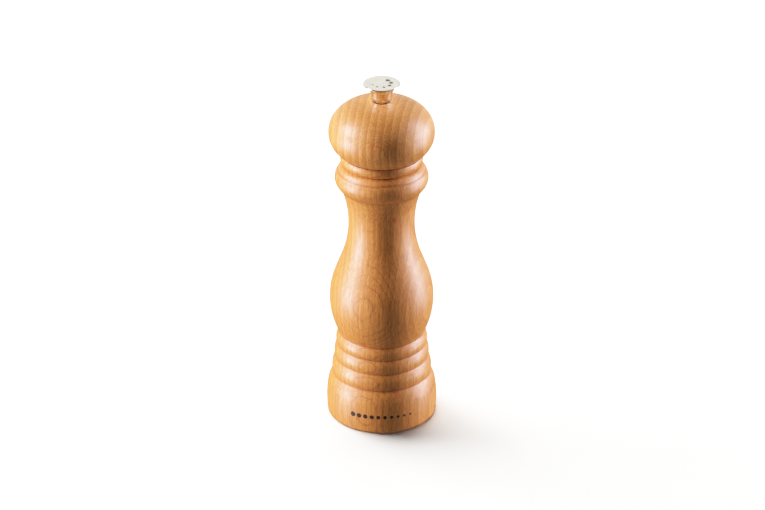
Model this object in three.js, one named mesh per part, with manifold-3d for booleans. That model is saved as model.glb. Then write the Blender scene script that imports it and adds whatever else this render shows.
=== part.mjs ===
// A turned beech pepper mill with a metal adjusting knob and a ceramic grinding mechanism.
//
// Turning the head turns a square shaft, which turns a toothed ceramic cone inside a fixed toothed
// ceramic ring. The knob is a nut on the shaft's threaded top: screwed down, it pulls the shaft and the
// cone up against the spring, so the gap between the burrs closes and the grind gets finer. With the
// knob off, the head lifts away and the chamber around the shaft can be filled.
//
// Millimetres, +Z up. The origin is the centre of the base, on the table.

import * as THREE from 'three';
import { mergeVertices, toCreasedNormals } from 'three/addons/utils/BufferGeometryUtils.js';
import Module from 'manifold-3d';

const wasm = await Module();
wasm.setup();

// ---------------------------------------------------------------- driving dimensions

const HEIGHT = 210; // table to the top of the knob
const BASE_RADIUS = 31.9;
const BASE_CHAMFER = 0.8;
const SEAM_Z = 166.3; // top of the body, where the head sits
const RUNNING_GAP = 0.3; // around a piece that turns or slides in another
const SEATED_GAP = 0.1; // under a piece that rests on another

// The turned outline of the body. Each cut is the end of an arc that bulges outwards from the one below.
const CUTS = {
  foot: { r: 31.7, z: 18, bulge: 0.5 },
  shoulder: { r: 28.5, z: 26 },
  lowBead: { r: 27.1, z: 36.2, bulge: 1.2 },
  middleBead: { r: 26, z: 44.8, bulge: 1.07 },
  highBead: { r: 24.8, z: 52.6, bulge: 1.2 },
  bulb: { r: 27.15, z: 91.3, bulge: 4.12 },
  bulbTop: { r: 23.6, z: 100.4 },
  neckTop: { r: 23.2, z: 144.9 },
  collar: { r: 25.5, z: 156.4, bulge: 2.45 },
  collarCrease: { r: 25.1, z: 156.7 },
  smallBead: { r: 21.4, z: 160.1, bulge: 0.8 },
  topBead: { r: 23.1, z: SEAM_Z, bulge: 1.4 },
};

// The head is a flattened ball: above and below its widest level it follows two superellipses.
const HEAD = {
  radius: 30.4,
  widestZ: 179.9,
  riseAbove: 19.9,
  powerAbove: 2.13,
  dropBelow: 19.3,
  powerBelow: 2.14,
  seatRadius: 5.4, // a shallow turned seat in the crown, for the knob
  seatFloorRadius: 5,
  seatZ: 198.9,
  shaftHoleRadius: 4.3,
  threadHoleRadius: 2.8,
  threadHoleZ: 191.5,
  tenonRadius: 14.9,
  tenonZ: 155,
  tenonChamfer: 0.8,
};

const KNOB = {
  baseZ: HEAD.seatZ + SEATED_GAP,
  baseRadius: 4.75,
  baseChamfer: 0.4,
  stemTopZ: 204.6,
  stemTopRadius: 6.4,
  rimRadius: 10.5,
  rimThickness: 0.7,
  rimEdge: 0.2,
  boreRadius: 2.75,
  boreTopZ: 208.2,
  grooveRadius: 3.8, // an inner groove for the friction ring
  grooveBottomZ: 200.2,
  grooveTopZ: 202.3,
};

const FRICTION_RING = {
  innerRadius: 2.6,
  radius: 3.65,
  bottomZ: KNOB.grooveBottomZ + SEATED_GAP,
  topZ: KNOB.grooveTopZ - SEATED_GAP,
};
const KNOB_WASHER = { innerRadius: 2.7, radius: 4.3, recessRadius: 4.6, thickness: 0.5 };

const SHAFT = {
  side: 5.5,
  cornerRadius: 3.74, // from the axis to the rounded corners
  bottomZ: 4.6,
  shoulderZ: 189.5, // the square ends here, and the round thread starts
  threadRadius: 2.5,
  threadChamfer: 0.5,
  topZ: 206.4,
  endHoleRadius: 1.6,
  endHoleDepth: 9,
};
const SQUARE_HOLE = SHAFT.side + RUNNING_GAP;
const SHAFT_CLIP = { radius: 6, bottomZ: 40, topZ: 40.8, grooveDepth: 0.4 };

const CHAMBER_RADIUS = 13; // the bore that holds the peppercorns
const SOCKET = { radius: HEAD.tenonRadius + RUNNING_GAP, floorZ: 154 };

// The housing is a nylon cup that screws into the base and holds the burr ring.
const HOUSING = {
  bottomZ: 3.2,
  flangeRadius: 24.8,
  flangeTopZ: 6,
  barrelRadius: 18.6,
  topZ: 34.9,
  lipRadius: 16.2,
  lipTopZ: 4.2,
  snapGrooveRadius: 17.1,
  snapGrooveTopZ: 7,
  pocketRadius: 16.6,
  pocketTopZ: 19.2,
  throatRadius: 14.8,
};

// The spider is a wheel with three spokes that rests on the housing and guides the shaft.
const SPIDER = {
  bottomZ: 35,
  topZ: 38,
  rimRadius: HOUSING.barrelRadius,
  windowRadius: HOUSING.throatRadius,
  hubRadius: 7.4,
  hubHoleRadius: 5.5,
  spokeWidth: 3.4,
};

const HOUSING_SCREW = {
  circleRadius: 21.6,
  headZ: HOUSING.bottomZ,
  headRadius: 2.7,
  shankRadius: 1.4,
  length: 12.5,
};

const PLATE = {
  radius: 11.6,
  recessDepth: 1.9,
  bottomZ: HEAD.tenonZ + 2 * SEATED_GAP,
  topZ: HEAD.tenonZ + 1.7,
};
const PLATE_SCREW = {
  circleRadius: 8,
  headZ: PLATE.bottomZ,
  headRadius: 2.3,
  shankRadius: 1.2,
  length: 8.5,
};

// Burr levels are [height, radius at the crests of the teeth]. Their lowest stretch is the fine zone.
const BURR_RING = {
  radius: 16.4,
  crests: [[7, 13.9], [12, 12.4], [16, 11.9], [19, 14]],
  toothDepth: 0.7,
  teeth: 24,
  twist: -0.35,
};
const BURR_CONE = {
  crests: [[6.2, 13.7], [12, 11.96], [16, 9.9], [20.5, 7.6]],
  toothDepth: 0.8,
  teeth: 16,
  twist: 0.7,
};
const BURR_KEY = { width: 2, depth: 1, bottomZ: 8 }; // keeps the burr ring from turning in its pocket
const RETAINING_RING = {
  innerRadius: 14.7,
  radius: HOUSING.snapGrooveRadius - RUNNING_GAP,
  bottomZ: HOUSING.lipTopZ + 2 * SEATED_GAP,
  topZ: HOUSING.snapGrooveTopZ - 2 * SEATED_GAP,
};

// The hub is the nylon core of the cone.
const BURR_HUB = {
  radius: 5.3,
  holeRadius: 5.65,
  flangeRadius: 7.4,
  bottomZ: 4.9,
  flangeTopZ: 5.9,
  topZ: 21.2,
};
const BURR_WASHER = { innerRadius: 1.7, radius: 6.4, bottomZ: 3.7, topZ: 4.5 };
const BURR_SCREW = {
  headRadius: 2.8,
  headEdge: 0.4,
  shankRadius: 1.45,
  bottomZ: 2,
  headTopZ: 3.6,
  topZ: 12,
};

const BUSH = { radius: 5.2, flangeRadius: 6.6, flangeBottomZ: 33.6, flangeTopZ: 34.9, topZ: 38.6 };
const SPRING = {
  coilRadius: 6.1,
  wireRadius: 0.5,
  turns: 4.5,
  bottomZ: BURR_CONE.crests.at(-1)[0] + 2 * SEATED_GAP,
  topZ: BUSH.flangeBottomZ - 2 * SEATED_GAP,
};

const TURNED_SEGMENTS = 40;
const SMALL_SEGMENTS = 24;
const SCREW_SEGMENTS = 12;
const BEYOND = 1; // how far a cutter reaches past what it cuts
const THIRDS = [0, 1, 2].map((i) => (i * 2 * Math.PI) / 3);
const SIXTHS_BETWEEN = THIRDS.map((angle) => angle + Math.PI / 3);

// ---------------------------------------------------------------- materials

const standard = (color, roughness, metalness = 0) =>
  new THREE.MeshStandardMaterial({ color, roughness, metalness });

const beech = standard(0xd09a5e, 0.42);
const polishedSteel = standard(0xdedbd2, 0.16, 1);
const screwSteel = standard(0xb9bcc0, 0.3, 1);
const springSteel = standard(0xa9adb2, 0.3, 1);
const aluminium = standard(0xc9ccd0, 0.35, 1);
const ceramic = standard(0xf0ece2, 0.55);
const blackNylon = standard(0x26262a, 0.5);
const whiteNylon = standard(0xe6e3da, 0.5);

// ---------------------------------------------------------------- solids

/** A closed geometry as a manifold-3d solid with its faces pointing out. */
function solid(geometry) {
  const bare = new THREE.BufferGeometry();
  bare.setAttribute('position', geometry.getAttribute('position'));
  bare.setIndex(geometry.index);
  const merged = mergeVertices(bare, 1e-3);
  const corners = merged.index.array;
  const triangles = [];
  for (let i = 0; i < corners.length; i += 3) {
    const [a, b, c] = corners.subarray(i, i + 3);
    if (a !== b && b !== c && c !== a) triangles.push([a, b, c]);
  }
  const vertProperties = new Float32Array(merged.attributes.position.array);
  const build = (list) =>
    new wasm.Manifold(
      new wasm.Mesh({ numProp: 3, vertProperties, triVerts: new Uint32Array(list.flat()) }),
    );
  const made = build(triangles);
  return made.volume() > 0 ? made : build(triangles.map(([a, b, c]) => [a, c, b]));
}

/** A named mesh of a solid, shaded smooth except across sharp edges. */
function mesh(name, made, material) {
  const { vertProperties, triVerts } = made.getMesh();
  const geometry = new THREE.BufferGeometry();
  geometry.setAttribute('position', new THREE.BufferAttribute(vertProperties, 3));
  geometry.setIndex(new THREE.BufferAttribute(triVerts, 1));
  const piece = new THREE.Mesh(toCreasedNormals(geometry, Math.PI / 6), material);
  piece.name = name;
  return piece;
}

const turn = (made, angle) => made.rotate([0, 0, THREE.MathUtils.radToDeg(angle)]);
const subtractAll = (made, cutters) => cutters.reduce((rest, cutter) => rest.subtract(cutter), made);
const addAll = (made, others) => others.reduce((sum, other) => sum.add(other), made);

/** An outline in the plane of radius and height, drawn from point to point and then revolved. */
class Outline {
  constructor(r, z) {
    this.points = [new THREE.Vector2(r, z)];
    this.heading = 0; // direction of travel, from straight up towards outwards
  }

  get last() {
    return this.points.at(-1);
  }

  to(r, z) {
    this.heading = Math.atan2(r - this.last.x, z - this.last.y);
    this.points.push(new THREE.Vector2(r, z));
    return this;
  }

  /** A circular arc whose middle stands out from its chord by bulge. */
  arc({ r, z, bulge }, steps) {
    const start = this.last.clone();
    const chord = new THREE.Vector2(r, z).sub(start);
    const length = chord.length();
    const halfAngle = 2 * Math.atan((2 * bulge) / length);
    const radius = length / 2 / Math.sin(halfAngle);
    const along = chord.clone().divideScalar(length);
    const outwards = new THREE.Vector2(along.y, -along.x);
    for (let i = 1; i <= steps; i++) {
      const angle = halfAngle * ((2 * i) / steps - 1);
      const forward = length / 2 + radius * Math.sin(angle);
      const aside = radius * (Math.cos(angle) - Math.cos(halfAngle));
      this.points.push(start.clone().addScaledVector(along, forward).addScaledVector(outwards, aside));
    }
    this.heading = Math.atan2(chord.x, chord.y) - halfAngle;
    return this;
  }

  /** The arc that leaves in the present direction of travel and ends at a point. */
  smoothArc({ r, z }, steps) {
    const chord = new THREE.Vector2(r, z).sub(this.last);
    const halfAngle = this.heading - Math.atan2(chord.x, chord.y);
    return this.arc({ r, z, bulge: (chord.length() / 2) * Math.tan(halfAngle / 2) }, steps);
  }

  /** Points of a curve given by a function of t from 0 to 1. */
  curve(pointAt, steps) {
    for (let i = 1; i <= steps; i++) this.to(...pointAt(i / steps));
    return this;
  }

  revolve(segments = TURNED_SEGMENTS) {
    const first = this.points[0];
    const meetsAxis = first.x === 0 && this.last.x === 0;
    const closed = meetsAxis ? this.points : [...this.points, first];
    return solid(new THREE.LatheGeometry(closed, segments).rotateX(Math.PI / 2));
  }
}

/** A plain ring, or a disc if innerRadius is 0, between two heights. */
function ring(innerRadius, outerRadius, bottomZ, topZ, segments = TURNED_SEGMENTS) {
  return new Outline(innerRadius, bottomZ)
    .to(outerRadius, bottomZ)
    .to(outerRadius, topZ)
    .to(innerRadius, topZ)
    .revolve(segments);
}

const disc = (radius, bottomZ, topZ, segments = SMALL_SEGMENTS) => ring(0, radius, bottomZ, topZ, segments);

/** A box of a given width across the axis, reaching out from one radius to another at an angle. */
function bar(innerRadius, outerRadius, width, bottomZ, topZ, angle = 0) {
  const box = new THREE.BoxGeometry(outerRadius - innerRadius, width, topZ - bottomZ);
  box.translate((innerRadius + outerRadius) / 2, 0, (bottomZ + topZ) / 2);
  return solid(box.rotateZ(angle));
}

const squareBar = (side, bottomZ, topZ) => bar(-side / 2, side / 2, side, bottomZ, topZ);

/** A regular prism along the axis, with a given distance from the axis to its corners. */
function prism(sides, cornerRadius, bottomZ, topZ) {
  const geometry = new THREE.CylinderGeometry(cornerRadius, cornerRadius, topZ - bottomZ, sides);
  return solid(geometry.rotateX(Math.PI / 2).translate(0, 0, (bottomZ + topZ) / 2));
}

/** A solid cone whose side carries twisted teeth: crests are [height, radius], and valleys lie deeper. */
function toothedCone({ crests, toothDepth, teeth, twist }) {
  const around = teeth * 4;
  const [bottomZ, topZ] = [crests[0][0], crests.at(-1)[0]];
  const positions = [];
  for (const [z, crest] of crests) {
    const turned = (twist * (z - bottomZ)) / (topZ - bottomZ);
    for (let i = 0; i < around; i++) {
      const angle = (2 * Math.PI * i) / around;
      const radius = crest - (toothDepth * (1 - Math.cos(teeth * angle))) / 2;
      positions.push(radius * Math.cos(angle + turned), radius * Math.sin(angle + turned), z);
    }
  }
  const bottomCentre = crests.length * around;
  positions.push(0, 0, bottomZ, 0, 0, topZ);
  const corners = [];
  for (let i = 0; i < around; i++) {
    const next = (i + 1) % around;
    corners.push(bottomCentre, next, i);
    for (let level = 0; level < crests.length - 1; level++) {
      const low = level * around;
      const high = low + around;
      corners.push(low + i, low + next, high + next, low + i, high + next, high + i);
    }
    const top = (crests.length - 1) * around;
    corners.push(bottomCentre + 1, top + i, top + next);
  }
  const geometry = new THREE.BufferGeometry();
  geometry.setAttribute('position', new THREE.Float32BufferAttribute(positions, 3));
  return solid(geometry.setIndex(corners));
}

/** The outside of a countersunk wood screw that points up from the origin, or with a gap its hole. */
function woodScrewBlank({ headRadius, shankRadius, length }, gap) {
  const rimZ = 0.25;
  const pointLength = 2.5;
  return new Outline(0, -gap)
    .to(headRadius + gap, -gap)
    .to(headRadius + gap, rimZ)
    .to(shankRadius + gap, rimZ + headRadius - shankRadius)
    .to(shankRadius + gap, length - pointLength)
    .to(0, length + gap)
    .revolve(SCREW_SEGMENTS);
}

/** Two crossed slots for a screwdriver, cut from below up to a height. */
const crossRecess = (reach, width, topZ) =>
  [0, Math.PI / 2].map((angle) => bar(-reach, reach, width, -BEYOND, topZ, angle));

/** Three copies of a solid, set round the axis on a circle. */
const threeOnACircle = (made, radius, z) =>
  THIRDS.map((angle) => turn(made.translate([radius, 0, z]), angle));

function threeScrews(size) {
  const slots = crossRecess(size.headRadius * 0.55, 0.6, 0.9);
  return threeOnACircle(subtractAll(woodScrewBlank(size, 0), slots), size.circleRadius, size.headZ);
}

const threeScrewHoles = (size) =>
  threeOnACircle(woodScrewBlank(size, RUNNING_GAP), size.circleRadius, size.headZ);

// ---------------------------------------------------------------- the wooden shells

function turnedBody() {
  const wallRadius = HOUSING.barrelRadius + RUNNING_GAP;
  const recessRadius = HOUSING.flangeRadius + RUNNING_GAP;
  const recessTopZ = HOUSING.flangeTopZ + 2 * SEATED_GAP;
  const boreFloorZ = SPIDER.topZ + RUNNING_GAP;
  const body = new Outline(BASE_RADIUS - BASE_CHAMFER, 0)
    .to(BASE_RADIUS, BASE_CHAMFER)
    .arc(CUTS.foot, 4)
    .smoothArc(CUTS.shoulder, 3)
    .arc(CUTS.lowBead, 4)
    .arc(CUTS.middleBead, 4)
    .arc(CUTS.highBead, 4)
    .arc(CUTS.bulb, 9)
    .smoothArc(CUTS.bulbTop, 2)
    .smoothArc(CUTS.neckTop, 7)
    .arc(CUTS.collar, 6)
    .to(CUTS.collarCrease.r, CUTS.collarCrease.z)
    .arc(CUTS.smallBead, 3)
    .arc(CUTS.topBead, 3)
    .to(SOCKET.radius, SEAM_Z)
    .to(SOCKET.radius, SOCKET.floorZ)
    .to(CHAMBER_RADIUS, SOCKET.floorZ)
    .to(CHAMBER_RADIUS, boreFloorZ)
    .to(wallRadius, boreFloorZ)
    .to(wallRadius, recessTopZ)
    .to(recessRadius, recessTopZ)
    .to(recessRadius, 0)
    .revolve();
  return subtractAll(body, threeScrewHoles(HOUSING_SCREW));
}

function turnedHead() {
  const { radius, widestZ, riseAbove, powerAbove, dropBelow, powerBelow, seatZ } = HEAD;
  const bottomZ = SEAM_Z + RUNNING_GAP;
  const washerFloorZ = seatZ - KNOB_WASHER.thickness - SEATED_GAP;
  const superellipse = (z, reach, power) =>
    radius * (1 - (Math.abs(z - widestZ) / reach) ** power) ** (1 / power);
  const below = (z) => superellipse(z, dropBelow, powerBelow);
  const above = (z) => superellipse(z, riseAbove, powerAbove);
  const crownAngle = Math.acos(HEAD.seatRadius / radius);
  const head = new Outline(HEAD.tenonRadius, bottomZ)
    .to(below(bottomZ), bottomZ)
    .curve((t) => {
      const z = bottomZ + (widestZ - bottomZ) * Math.sin((t * Math.PI) / 2);
      return [below(z), z];
    }, 5)
    .curve((t) => {
      const z = widestZ + riseAbove * Math.sin(t * crownAngle);
      return [above(z), z];
    }, 9)
    .to(HEAD.seatFloorRadius, seatZ)
    .to(KNOB_WASHER.recessRadius, seatZ)
    .to(KNOB_WASHER.recessRadius, washerFloorZ)
    .to(HEAD.threadHoleRadius, washerFloorZ)
    .to(HEAD.threadHoleRadius, HEAD.threadHoleZ)
    .to(HEAD.shaftHoleRadius, HEAD.threadHoleZ)
    .to(HEAD.shaftHoleRadius, HEAD.tenonZ + PLATE.recessDepth)
    .to(PLATE.radius + RUNNING_GAP, HEAD.tenonZ + PLATE.recessDepth)
    .to(PLATE.radius + RUNNING_GAP, HEAD.tenonZ)
    .to(HEAD.tenonRadius - HEAD.tenonChamfer, HEAD.tenonZ)
    .to(HEAD.tenonRadius, HEAD.tenonZ + HEAD.tenonChamfer)
    .revolve();
  return subtractAll(head, threeScrewHoles(PLATE_SCREW));
}

// ---------------------------------------------------------------- the knob

function adjustingKnob() {
  const { baseRadius, baseZ, baseChamfer, rimRadius, rimEdge, boreRadius, grooveRadius } = KNOB;
  const rimZ = HEIGHT - KNOB.rimThickness;
  return new Outline(baseRadius - baseChamfer, baseZ)
    .to(baseRadius, baseZ + baseChamfer)
    .to(KNOB.stemTopRadius, KNOB.stemTopZ)
    .smoothArc({ r: rimRadius - rimEdge, z: rimZ }, 5)
    .to(rimRadius, rimZ + rimEdge)
    .to(rimRadius, HEIGHT - rimEdge)
    .to(rimRadius - rimEdge, HEIGHT)
    .to(0, HEIGHT)
    .to(0, KNOB.boreTopZ)
    .to(boreRadius, KNOB.boreTopZ)
    .to(boreRadius, KNOB.grooveTopZ)
    .to(grooveRadius, KNOB.grooveTopZ)
    .to(grooveRadius, KNOB.grooveBottomZ)
    .to(boreRadius, KNOB.grooveBottomZ)
    .to(boreRadius, baseZ)
    .revolve(32);
}

function knobFrictionRing() {
  const { innerRadius, radius, bottomZ, topZ } = FRICTION_RING;
  return ring(innerRadius, radius, bottomZ, topZ, SMALL_SEGMENTS);
}

function knobWasher() {
  const { innerRadius, radius, thickness } = KNOB_WASHER;
  return ring(innerRadius, radius, HEAD.seatZ - thickness, HEAD.seatZ, SMALL_SEGMENTS);
}

// ---------------------------------------------------------------- the shaft and what drives it

function driveShaft() {
  const { side, cornerRadius, bottomZ, shoulderZ, threadRadius, threadChamfer, topZ } = SHAFT;
  const square = squareBar(side, bottomZ, shoulderZ);
  const roundedCorners = disc(cornerRadius, bottomZ, shoulderZ, TURNED_SEGMENTS);
  const thread = new Outline(0, shoulderZ - BEYOND)
    .to(threadRadius, shoulderZ - BEYOND)
    .to(threadRadius, topZ - threadChamfer)
    .to(threadRadius - threadChamfer, topZ)
    .to(0, topZ)
    .revolve(SMALL_SEGMENTS);
  const endHole = disc(SHAFT.endHoleRadius, bottomZ - BEYOND, bottomZ + SHAFT.endHoleDepth, SCREW_SEGMENTS);
  const { grooveDepth, bottomZ: clipBottomZ, topZ: clipTopZ } = SHAFT_CLIP;
  const clipGrooves = [-1, 1].map((sign) =>
    bar(-side, side, 2 * grooveDepth, clipBottomZ - SEATED_GAP, clipTopZ + SEATED_GAP).translate([
      0,
      (sign * side) / 2,
      0,
    ]),
  );
  return subtractAll(square.intersect(roundedCorners).add(thread), [endHole, ...clipGrooves]);
}

/** A flat spring clip pushed sideways into the shaft's two grooves. It stops the shaft from dropping out. */
function shaftClip() {
  const { radius, bottomZ, topZ, grooveDepth } = SHAFT_CLIP;
  const slotWidth = SHAFT.side - 2 * grooveDepth + 2 * SEATED_GAP;
  const slotStart = -SHAFT.side / 2 - RUNNING_GAP;
  const slot = bar(slotStart, radius + BEYOND, slotWidth, bottomZ - BEYOND, topZ + BEYOND);
  return disc(radius, bottomZ, topZ).subtract(slot);
}

function drivePlate() {
  const plate = disc(PLATE.radius, PLATE.bottomZ, PLATE.topZ, TURNED_SEGMENTS);
  const square = squareBar(SQUARE_HOLE, PLATE.bottomZ - BEYOND, PLATE.topZ + BEYOND);
  return subtractAll(plate, [square, ...threeScrewHoles(PLATE_SCREW)]);
}

/** A nylon sleeve that turns in the spider's hub and lets the square shaft slide through. */
function shaftBush() {
  const { radius, flangeRadius, flangeBottomZ, flangeTopZ, topZ } = BUSH;
  const bush = new Outline(0, flangeBottomZ)
    .to(flangeRadius, flangeBottomZ)
    .to(flangeRadius, flangeTopZ)
    .to(radius, flangeTopZ)
    .to(radius, topZ)
    .to(0, topZ)
    .revolve(32);
  return bush.subtract(squareBar(SQUARE_HOLE, flangeBottomZ - BEYOND, topZ + BEYOND));
}

class Helix extends THREE.Curve {
  constructor(radius, bottomZ, topZ, turns) {
    super();
    Object.assign(this, { radius, bottomZ, topZ, turns });
  }

  getPoint(t, target = new THREE.Vector3()) {
    const angle = 2 * Math.PI * this.turns * t;
    return target.set(
      this.radius * Math.cos(angle),
      this.radius * Math.sin(angle),
      this.bottomZ + (this.topZ - this.bottomZ) * t,
    );
  }
}

function burrSpring() {
  const { coilRadius, wireRadius, turns, bottomZ, topZ } = SPRING;
  const path = new Helix(coilRadius, bottomZ + wireRadius, topZ - wireRadius, turns);
  const wire = new THREE.Shape().absarc(0, 0, wireRadius, 0, 2 * Math.PI);
  return solid(
    new THREE.ExtrudeGeometry(wire, { steps: 60, curveSegments: 3, bevelEnabled: false, extrudePath: path }),
  );
}

// ---------------------------------------------------------------- the grinding mechanism

function burrHousing() {
  const h = HOUSING;
  const cup = new Outline(h.lipRadius, h.bottomZ)
    .to(h.flangeRadius, h.bottomZ)
    .to(h.flangeRadius, h.flangeTopZ)
    .to(h.barrelRadius, h.flangeTopZ)
    .to(h.barrelRadius, h.topZ)
    .to(h.throatRadius, h.topZ)
    .to(h.throatRadius, h.pocketTopZ)
    .to(h.pocketRadius, h.pocketTopZ)
    .to(h.pocketRadius, h.snapGrooveTopZ)
    .to(h.snapGrooveRadius, h.snapGrooveTopZ)
    .to(h.snapGrooveRadius, h.lipTopZ)
    .to(h.lipRadius, h.lipTopZ)
    .revolve();
  const { width, depth, bottomZ } = BURR_KEY;
  const keys = SIXTHS_BETWEEN.map((angle) =>
    bar(h.pocketRadius - depth, h.pocketRadius + BEYOND, width, bottomZ, h.pocketTopZ + BEYOND, angle),
  );
  return subtractAll(addAll(cup, keys), threeScrewHoles(HOUSING_SCREW));
}

function bearingSpider() {
  const { bottomZ, topZ, rimRadius, windowRadius, hubRadius, hubHoleRadius, spokeWidth } = SPIDER;
  const rim = ring(windowRadius, rimRadius, bottomZ, topZ);
  const hub = disc(hubRadius, bottomZ, topZ, 32);
  const spokes = SIXTHS_BETWEEN.map((angle) =>
    bar(hubHoleRadius, windowRadius + BEYOND, spokeWidth, bottomZ, topZ, angle),
  );
  const hubHole = disc(hubHoleRadius, bottomZ - BEYOND, topZ + BEYOND, 32);
  return addAll(rim, [hub, ...spokes]).subtract(hubHole);
}

function burrRing() {
  const { radius, crests, toothDepth } = BURR_RING;
  const [bottomZ, topZ] = [crests[0][0], crests.at(-1)[0]];
  const inside = toothedCone({ ...BURR_RING, crests: crests.map(([z, r]) => [z, r + toothDepth]) });
  const sliver = 0.01; // the blank is this much shorter than the cutter at each end, so both ends open
  const blank = disc(radius, bottomZ + sliver, topZ - sliver, TURNED_SEGMENTS);
  const { width, depth } = BURR_KEY;
  const keyways = SIXTHS_BETWEEN.map((angle) =>
    bar(
      radius - depth - SEATED_GAP,
      radius + BEYOND,
      width + RUNNING_GAP,
      bottomZ - BEYOND,
      topZ + BEYOND,
      angle,
    ),
  );
  return subtractAll(blank, [inside, ...keyways]);
}

function burrRetainingRing() {
  const { innerRadius, radius, bottomZ, topZ } = RETAINING_RING;
  return ring(innerRadius, radius, bottomZ, topZ);
}

function burrCone() {
  const [bottomZ, topZ] = [BURR_CONE.crests[0][0], BURR_CONE.crests.at(-1)[0]];
  return toothedCone(BURR_CONE).subtract(prism(6, BURR_HUB.holeRadius, bottomZ - BEYOND, topZ + BEYOND));
}

/** A hexagon outside to drive the ceramic, and a square hole inside for the shaft. */
function burrHub() {
  const { radius, flangeRadius, bottomZ, flangeTopZ, topZ } = BURR_HUB;
  return prism(6, radius, bottomZ, topZ)
    .add(disc(flangeRadius, bottomZ, flangeTopZ, 32))
    .subtract(squareBar(SQUARE_HOLE, bottomZ - BEYOND, topZ + BEYOND));
}

function burrWasher() {
  const { innerRadius, radius, bottomZ, topZ } = BURR_WASHER;
  return ring(innerRadius, radius, bottomZ, topZ, SMALL_SEGMENTS);
}

function burrScrew() {
  const { headRadius, headEdge, shankRadius, bottomZ, headTopZ, topZ } = BURR_SCREW;
  const screw = new Outline(0, bottomZ)
    .to(headRadius - headEdge, bottomZ)
    .to(headRadius, bottomZ + headEdge)
    .to(headRadius, headTopZ)
    .to(shankRadius, headTopZ)
    .to(shankRadius, topZ)
    .to(0, topZ)
    .revolve(SCREW_SEGMENTS);
  const recessDepth = 0.9;
  return subtractAll(screw, crossRecess(1.6, 0.7, bottomZ + recessDepth));
}

// ---------------------------------------------------------------- assembly

function group(...pieces) {
  const made = new THREE.Group();
  made.add(...pieces);
  return made;
}

// What stays still on the table.
const body = group(
  mesh('turned_body', turnedBody(), beech),
  mesh('burr_housing', burrHousing(), blackNylon),
  mesh('bearing_spider', bearingSpider(), blackNylon),
  mesh('burr_ring', burrRing(), ceramic),
  mesh('burr_retaining_ring', burrRetainingRing(), blackNylon),
  ...threeScrews(HOUSING_SCREW).map((made, i) => mesh(`housing_screw_${i + 1}`, made, screwSteel)),
);

// What turns with the head at one height.
const bush = group(
  mesh('shaft_bush', shaftBush(), whiteNylon),
  mesh('burr_spring', burrSpring(), springSteel),
);

// What turns with the head and rises as the knob is tightened.
const spindle = group(
  mesh('drive_shaft', driveShaft(), aluminium),
  mesh('shaft_clip', shaftClip(), springSteel),
  mesh('burr_cone', burrCone(), ceramic),
  mesh('burr_hub', burrHub(), whiteNylon),
  mesh('burr_washer', burrWasher(), screwSteel),
  mesh('burr_screw', burrScrew(), screwSteel),
);

// What lifts off for filling.
const head = group(
  mesh('turned_head', turnedHead(), beech),
  mesh('drive_plate', drivePlate(), screwSteel),
  ...threeScrews(PLATE_SCREW).map((made, i) => mesh(`plate_screw_${i + 1}`, made, screwSteel)),
);

const knob = group(
  mesh('adjusting_knob', adjustingKnob(), polishedSteel),
  mesh('knob_friction_ring', knobFrictionRing(), whiteNylon),
  mesh('knob_washer', knobWasher(), blackNylon),
);

export default group(body, bush, spindle, head, knob);
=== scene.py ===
"""The looks of a turned beech pepper mill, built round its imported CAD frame."""

import math

import bpy
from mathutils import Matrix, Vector


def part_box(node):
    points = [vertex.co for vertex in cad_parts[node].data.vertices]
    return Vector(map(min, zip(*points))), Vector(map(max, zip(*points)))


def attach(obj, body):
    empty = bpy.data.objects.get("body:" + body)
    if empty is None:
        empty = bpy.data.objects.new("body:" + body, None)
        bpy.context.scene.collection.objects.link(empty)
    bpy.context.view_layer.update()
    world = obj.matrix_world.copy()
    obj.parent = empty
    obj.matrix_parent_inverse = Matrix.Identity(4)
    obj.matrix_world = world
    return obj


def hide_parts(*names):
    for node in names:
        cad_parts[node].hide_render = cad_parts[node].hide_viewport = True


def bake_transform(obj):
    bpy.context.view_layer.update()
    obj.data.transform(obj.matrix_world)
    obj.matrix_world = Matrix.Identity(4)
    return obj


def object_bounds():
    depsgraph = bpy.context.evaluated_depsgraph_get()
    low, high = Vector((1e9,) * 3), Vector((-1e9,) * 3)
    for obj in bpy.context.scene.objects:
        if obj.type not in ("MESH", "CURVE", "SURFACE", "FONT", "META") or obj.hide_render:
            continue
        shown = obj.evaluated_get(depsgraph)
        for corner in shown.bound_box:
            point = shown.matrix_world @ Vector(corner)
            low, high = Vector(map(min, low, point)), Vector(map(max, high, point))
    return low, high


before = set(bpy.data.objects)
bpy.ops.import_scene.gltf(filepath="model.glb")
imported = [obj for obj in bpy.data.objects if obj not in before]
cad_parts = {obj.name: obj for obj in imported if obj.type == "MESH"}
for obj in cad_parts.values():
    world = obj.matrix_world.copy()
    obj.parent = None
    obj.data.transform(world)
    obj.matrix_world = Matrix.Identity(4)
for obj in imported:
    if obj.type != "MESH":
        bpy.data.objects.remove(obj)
CAD_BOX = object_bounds()

# ---------------------------------------------------------------- sizes, from the frame

HEIGHT = CAD_BOX[1].z
MM = HEIGHT / 210  # the outlines below are in millimetres of a 210 mm mill

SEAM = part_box("turned_body")[1].z / MM
BASE_RADIUS = 31.85
HEAD_BOTTOM = SEAM + 0.3
KNOB_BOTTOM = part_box("adjusting_knob")[0].z / MM
KNOB_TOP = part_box("adjusting_knob")[1].z / MM
SHAFT_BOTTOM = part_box("drive_shaft")[0].z / MM
SHAFT_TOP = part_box("drive_shaft")[1].z / MM
SHAFT_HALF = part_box("drive_shaft")[1].x / MM
FLANGE_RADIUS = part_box("burr_housing")[1].x / MM
SPIDER_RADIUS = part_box("bearing_spider")[1].x / MM
SPIDER_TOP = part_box("bearing_spider")[1].z / MM
SOCKET_RADIUS = 15.2
SOCKET_FLOOR = 154.0
CHAMBER_RADIUS = 13.0
FLANGE_TOP = 6.0

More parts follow.
